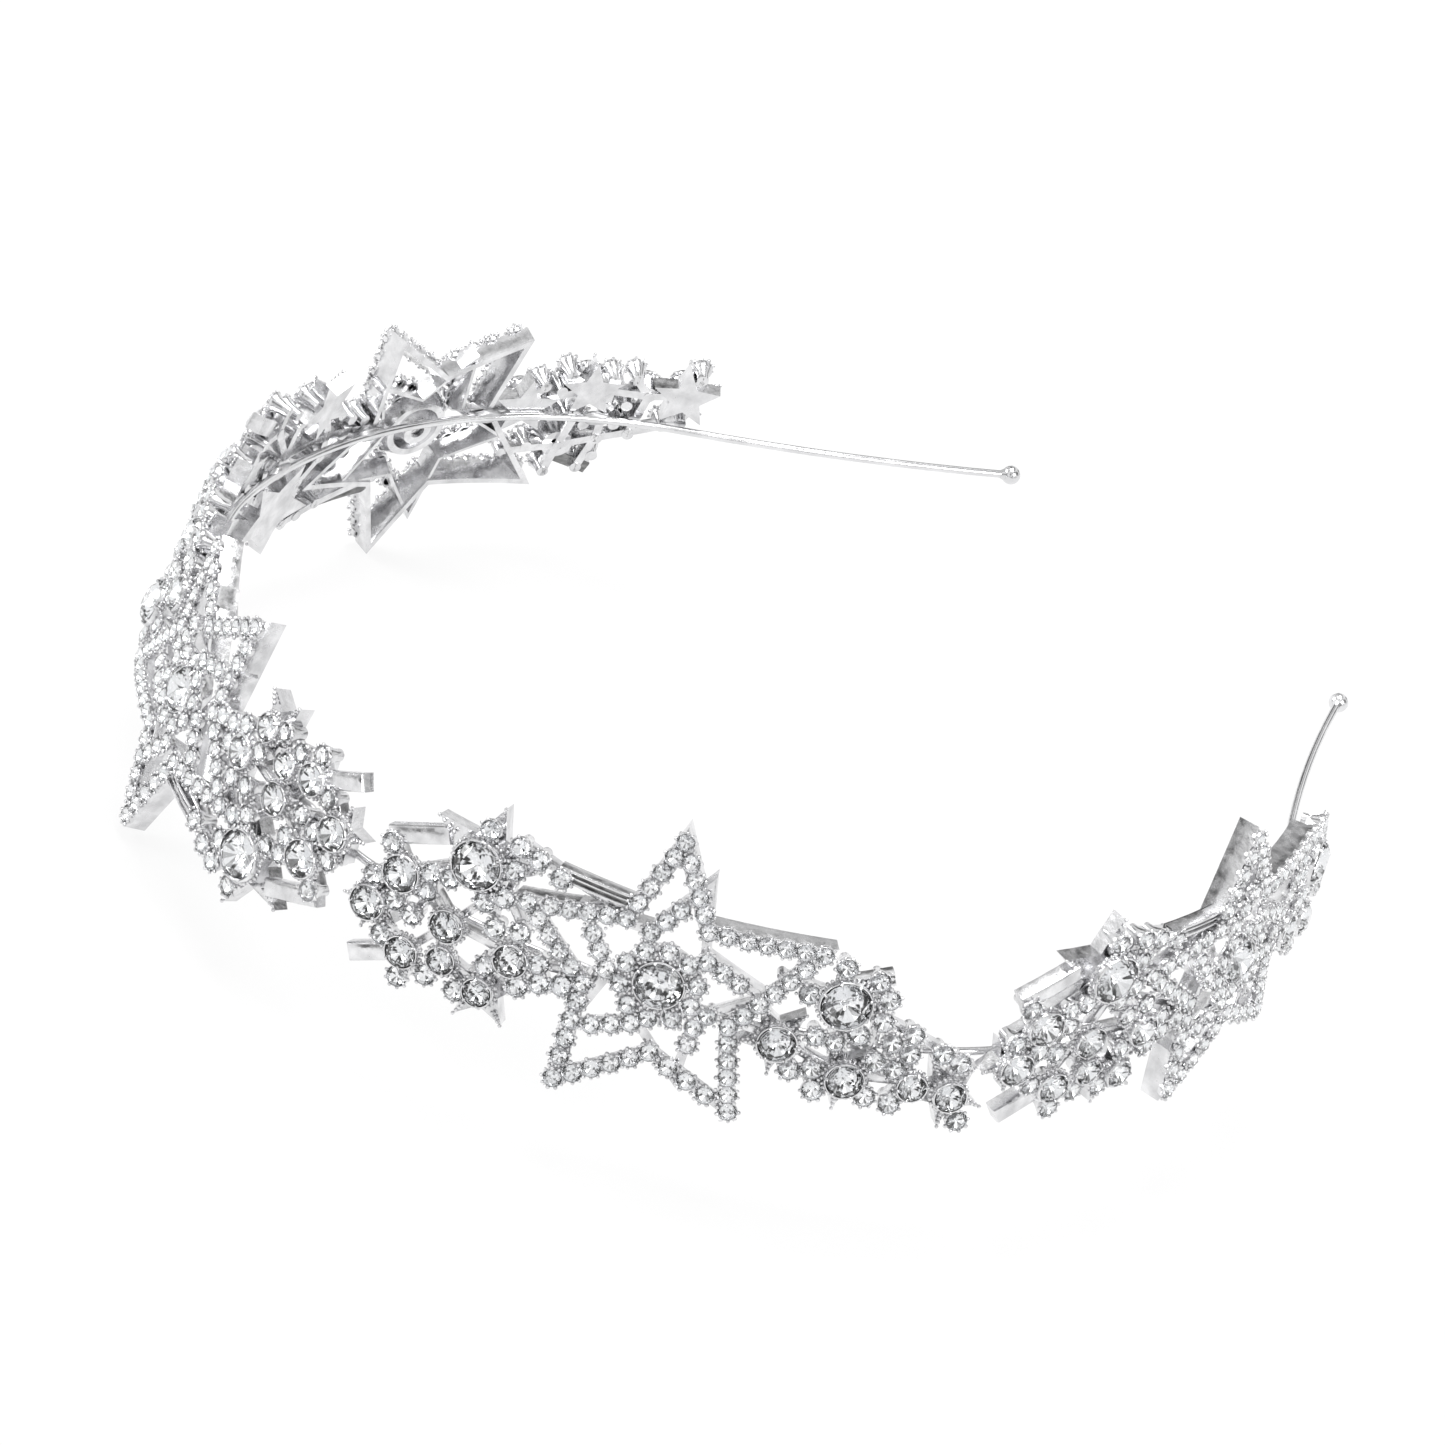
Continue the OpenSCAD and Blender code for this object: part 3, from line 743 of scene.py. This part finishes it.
def painted_groove_shade():
    """Painted shade and painted dark reflection on the floor of a groove: the plate coloured near
    black there.
    """
    material, tree, shader = node_material("painted_groove_shade")
    shader.inputs["Metallic"].default_value = 1.0
    tint(tree, grain(tree, 500, 3, stretch=(1, 1, 3)), (0.10, 0.10, 0.10), (0.34, 0.34, 0.34),
         shader.inputs["Base Color"])
    spread(tree, grain(tree, 900, 2), 0.12, 0.3, shader.inputs["Roughness"])
    return material


# the second plaque material is painted shade for the groove floors
rhodium_casting, groove_shade = cast_rhodium(), painted_groove_shade()
for name, plaque in plaques.items():
    bm = bmesh.new()
    bm.from_mesh(flat_casting)
    place = plaque_place(plaque)
    for v in bm.verts:
        v.co = place @ pressed(plaque, v.co)
    piece = finish_piece(bm, name + "_star_plaque", [rhodium_casting, groove_shade])
    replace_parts(piece, name + "_casting")

# ---- Crystal stones ----
# Machine-cut lead glass with a silvered foil back: round brilliants with a flat table, kite
# and star facets on the crown, and a faceted pavilion. They are pressed into their cups by hand.
TABLE = 0.55
MID = 0.79
GIRDLE = 0.08
STONE_SIDES = 8
# heights of crown and pavilion against the stone's radius
CENTRE_CUT = (0.34, 0.5)
CHATON_CUT = (0.36, 0.5)
PAVE_CUT = (0.40, 0.36)
FLAT_WITHIN = radians(0.6)
FOIL_BELOW = -0.15
FACET_CREASE = 0.2
TIPPED = radians(3.5)
STONE_TURN = 2.4
TIP_TURN = 1.7


def cut_stone(sides, crown, girdle, pavilion):
    """A round brilliant of radius 1 with its girdle on Z = 0, foil on the pavilion."""
    shell = bmesh.new()
    half = Matrix.Rotation(pi / sides, 4, "Z")
    mid_z = crown * (1 - (MID * cos(pi / sides) - TABLE) / (1 - TABLE))
    for radius, z, count, turn in ((TABLE, crown, sides, Matrix()), (MID, mid_z, sides, half),
                                   (1, 0, 2 * sides, Matrix()), (1, -girdle, 2 * sides, Matrix())):
        bmesh.ops.create_circle(shell, segments=count, radius=radius,
                                matrix=Matrix.Translation((0, 0, z)) @ turn)
    shell.verts.new((0, 0, -girdle - pavilion))
    hull = bmesh.ops.convex_hull(shell, input=shell.verts[:])
    inside = hull["geom_interior"] + hull["geom_unused"]
    spare = [g for g in inside if isinstance(g, bmesh.types.BMVert)]
    bmesh.ops.delete(shell, geom=spare, context="VERTS")
    bmesh.ops.dissolve_limit(shell, angle_limit=FLAT_WITHIN, verts=shell.verts[:],
                             edges=shell.edges[:])
    bmesh.ops.recalc_face_normals(shell, faces=shell.faces)
    for face in shell.faces:
        face.material_index = 1 if face.normal.z < FOIL_BELOW else 0
    return shell


def crystal_glass():
    """Clear lead glass, with the faintest milkiness and polishing marks."""
    material, tree, shader = node_material("crystal_glass")
    shader.inputs["Transmission Weight"].default_value = 1.0
    shader.inputs["IOR"].default_value = 1.58
    tint(tree, grain(tree, 300, 2), (0.93, 0.94, 0.95), (1, 1, 1), shader.inputs["Base Color"])
    spread(tree, grain(tree, 1200, 2), 0.0, 0.02, shader.inputs["Roughness"])
    return material


def silver_foil():
    """The silvered back of a stone, seen through the glass."""
    material, tree, shader = node_material("silver_foil")
    shader.inputs["Metallic"].default_value = 1.0
    tint(tree, grain(tree, 500, 2), (0.82, 0.83, 0.84), (0.95, 0.95, 0.96),
         shader.inputs["Base Color"])
    spread(tree, grain(tree, 800, 2), 0.05, 0.10, shader.inputs["Roughness"])
    return material


glass, foil = crystal_glass(), silver_foil()


def set_stones(name, plaque, seats, cut, nodes):
    """Sets one kind of stone: seats are (x, y, diameter, top), each turned and tipped a little."""
    places = []
    for n, (x, y, d, top) in enumerate(seats):
        tip = (Matrix.Rotation(TIPPED * sin(STONE_TURN * n + x), 4, "X")
               @ Matrix.Rotation(TIPPED * cos(TIP_TURN * n + y), 4, "Y"))
        places.append(station(plaque, x, y, top) @ tip @ Matrix.Rotation(STONE_TURN * n, 4, "Z")
                      @ Matrix.Scale(d / 2, 4))
    crown, pavilion = cut
    bm = bmesh.new()
    repeat(bm, cut_stone(STONE_SIDES, crown, GIRDLE, pavilion), places)
    piece = finish_piece(bm, name, [glass, foil], crease=FACET_CREASE)
    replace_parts(piece, *nodes)


pave_seats = [(p.x, p.y, 2 * PAVE_R * size, top) for p, top, size in pave_tops]
for name, plaque in plaques.items():
    set_stones(name + "_centre_crystal", plaque, centre_seats, CENTRE_CUT,
               [name + "_centre_stone"])
    set_stones(name + "_large_crystals", plaque, large_seats, CHATON_CUT,
               [name + "_large_chatons"])
    set_stones(name + "_medium_crystals", plaque, medium_seats, CHATON_CUT,
               [name + "_medium_chatons"])
    set_stones(name + "_pave_crystals", plaque, pave_seats, PAVE_CUT,
               [name + "_pave_stones"])

# ---- Solder joints ----
# Four soft solder joints hold each plaque to the wire. Each runs into a low mound with
# feathered ends, duller than the plate.
SOLDER_AT = (-26, -9, 9, 24)
MOUND_LONG = 2.2
MOUND_WIDE = 1.0
MOUND_HIGH = 0.62
MOUND_LUMPS = 0.09
MOUND_SINK = -0.3


def soft_solder():
    """Solder that has been run and wiped: dull, with soft lumps."""
    material, tree, shader = node_material("soft_solder")
    shader.inputs["Metallic"].default_value = 1.0
    tint(tree, grain(tree, 700, 3), (0.48, 0.48, 0.49), (0.72, 0.72, 0.73),
         shader.inputs["Base Color"])
    spread(tree, grain(tree, 500, 3), 0.25, 0.5, shader.inputs["Roughness"])
    roughen(tree, grain(tree, 1100, 3), 0.4, 0.15 * MM, shader)
    return material


solder_metal = soft_solder()
for name, plaque in plaques.items():
    bm = bmesh.new()
    for n, x in enumerate(SOLDER_AT):
        mound = bmesh.ops.create_icosphere(bm, subdivisions=3, radius=1)["verts"]
        for v in mound:
            v.co *= 1 + MOUND_LUMPS * sin(5 * v.co.x + n) * cos(4 * v.co.y - n)
        bmesh.ops.scale(bm, verts=mound, vec=(MOUND_LONG, MOUND_WIDE, MOUND_HIGH))
        bmesh.ops.transform(bm, verts=mound,
                            matrix=station(plaque, x, -plaque[4] * plaque[0], MOUND_SINK))
    bmesh.ops.recalc_face_normals(bm, faces=bm.faces)
    piece = finish_piece(bm, name + "_solder_mounds", [solder_metal], crease=80)
    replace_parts(piece, name + "_solder_joints")

# ---- Table and light ----
# The tiara lies on a white sweep under broad soft light from above and from both sides.
# White shows in the sweep and behind it, and the metal reflects it between darker flags.
FLOOR_R = 2.0
OWN_WHITE = 0.85


def larger(tree, first, second):
    """The larger of two values, so either kind of ray will do."""
    node = tree.nodes.new("ShaderNodeMath")
    node.operation = "MAXIMUM"
    tree.links.new(first, node.inputs[0])
    tree.links.new(second, node.inputs[1])
    return node.outputs[0]


def mixed(tree, share, first, second):
    """Two shaders mixed by the share of the second."""
    node = tree.nodes.new("ShaderNodeMixShader")
    tree.links.new(share, node.inputs["Fac"])
    tree.links.new(first, node.inputs[1])
    tree.links.new(second, node.inputs[2])
    return node.outputs["Shader"]


def white_sweep():
    """White paper that still takes a faint shadow."""
    material, tree, shader = node_material("white_sweep")
    tint(tree, grain(tree, 30, 2), (0.90, 0.90, 0.90), (0.93, 0.93, 0.93),
         shader.inputs["Base Color"])
    shader.inputs["Roughness"].default_value = 0.9
    shader.inputs["Specular IOR Level"].default_value = 0.0
    lamp = tree.nodes.new("ShaderNodeEmission")
    path = tree.nodes.new("ShaderNodeLightPath")
    seen = larger(tree, path.outputs["Is Camera Ray"], path.outputs["Is Glossy Ray"])
    share = tree.nodes.new("ShaderNodeMath")
    share.operation = "MULTIPLY"
    share.inputs[1].default_value = OWN_WHITE
    tree.links.new(larger(tree, seen, path.outputs["Is Transmission Ray"]), share.inputs[0])
    output = next(n for n in tree.nodes if n.bl_idname == "ShaderNodeOutputMaterial")
    white = mixed(tree, share.outputs[0], shader.outputs["BSDF"], lamp.outputs["Emission"])
    tree.links.new(white, output.inputs["Surface"])
    return material


bm = bmesh.new()
bmesh.ops.create_circle(bm, segments=64, radius=FLOOR_R, cap_ends=True)
floor_mesh = bpy.data.meshes.new("white_floor")
bm.to_mesh(floor_mesh)
bm.free()
floor_mesh.materials.append(white_sweep())
floor = bpy.data.objects.new("white_floor", floor_mesh)
bpy.context.scene.collection.objects.link(floor)

# the world: white to the camera, soft to the sweep, and white with darker flags to the metal
AROUND = 0.55
FLAG_SCALE = 2.6
FLAG_DARK = 0.14
FLAG_EDGE = (0.40, 0.50)
world = bpy.data.worlds.new("studio")
bpy.context.scene.world = world
world.use_nodes = True
tree = world.node_tree
tree.nodes.clear()
output = tree.nodes.new("ShaderNodeOutputWorld")
path = tree.nodes.new("ShaderNodeLightPath")
way = tree.nodes.new("ShaderNodeTexCoord")
flags = tree.nodes.new("ShaderNodeTexNoise")
flags.inputs["Scale"].default_value = FLAG_SCALE
flags.inputs["Detail"].default_value = 1.0
tree.links.new(way.outputs["Generated"], flags.inputs["Vector"])
soft = tree.nodes.new("ShaderNodeBackground")
soft.inputs["Color"].default_value = (1, 1, 1, 1)
soft.inputs["Strength"].default_value = AROUND
studio = tree.nodes.new("ShaderNodeBackground")
tint(tree, flags.outputs["Fac"], (FLAG_DARK,) * 3, (1, 1, 1), studio.inputs["Color"], *FLAG_EDGE)
white = tree.nodes.new("ShaderNodeBackground")
mirrored = larger(tree, path.outputs["Is Glossy Ray"], path.outputs["Is Transmission Ray"])
unseen = mixed(tree, mirrored, soft.outputs[0], studio.outputs[0])
whole = mixed(tree, path.outputs["Is Camera Ray"], unseen, white.outputs[0])
tree.links.new(whole, output.inputs["Surface"])


def soft_lamp(name, place, aim, size, power):
    """A square soft box aimed at a point."""
    lamp = bpy.data.lights.new(name, "AREA")
    lamp.shape = "SQUARE"
    lamp.size = size
    lamp.energy = power
    piece = bpy.data.objects.new(name, lamp)
    piece.location = place
    piece.rotation_euler = (Vector(aim) - Vector(place)).to_track_quat("-Z", "Y").to_euler()
    bpy.context.scene.collection.objects.link(piece)


middle = (Vector(cad_box[0]) + Vector(cad_box[1])) / 2
soft_lamp("top_softbox", (-0.15, 0.1, 0.9), middle, size=0.5, power=5.0)
soft_lamp("left_softbox", (-0.8, -0.5, 0.5), middle, size=0.4, power=4.0)
soft_lamp("right_softbox", (0.8, 0.0, 0.6), middle, size=0.4, power=3.0)

# ---- Camera ----
# A long lens looks down on the band from the front right, rolled a little to one side.
# The lens and the sensor are in mm.
LENS = 174.4
SENSOR = 36.0
CAMERA_AT = Vector((423.32, -573.74, 483.78)) * MM
CAMERA_WAY = Vector((-0.50105, 0.67066, -0.54696)).normalized()
CAMERA_ROLL = radians(17.546)
camera_data = bpy.data.cameras.new("camera")
camera_data.lens = LENS
camera_data.sensor_width = SENSOR
camera_data.clip_start = 0.01
camera = bpy.data.objects.new("camera", camera_data)
level = (Vector((0, 0, 1)) - CAMERA_WAY * CAMERA_WAY.z).normalized()
across = CAMERA_WAY.cross(level)
up = level * cos(CAMERA_ROLL) - across * sin(CAMERA_ROLL)
right = across * cos(CAMERA_ROLL) + level * sin(CAMERA_ROLL)
axes = Matrix((right, up, -CAMERA_WAY)).transposed().to_4x4()
camera.matrix_world = Matrix.Translation(CAMERA_AT) @ axes
bpy.context.scene.collection.objects.link(camera)
bpy.context.scene.camera = camera
bpy.context.scene.view_settings.view_transform = "Standard"
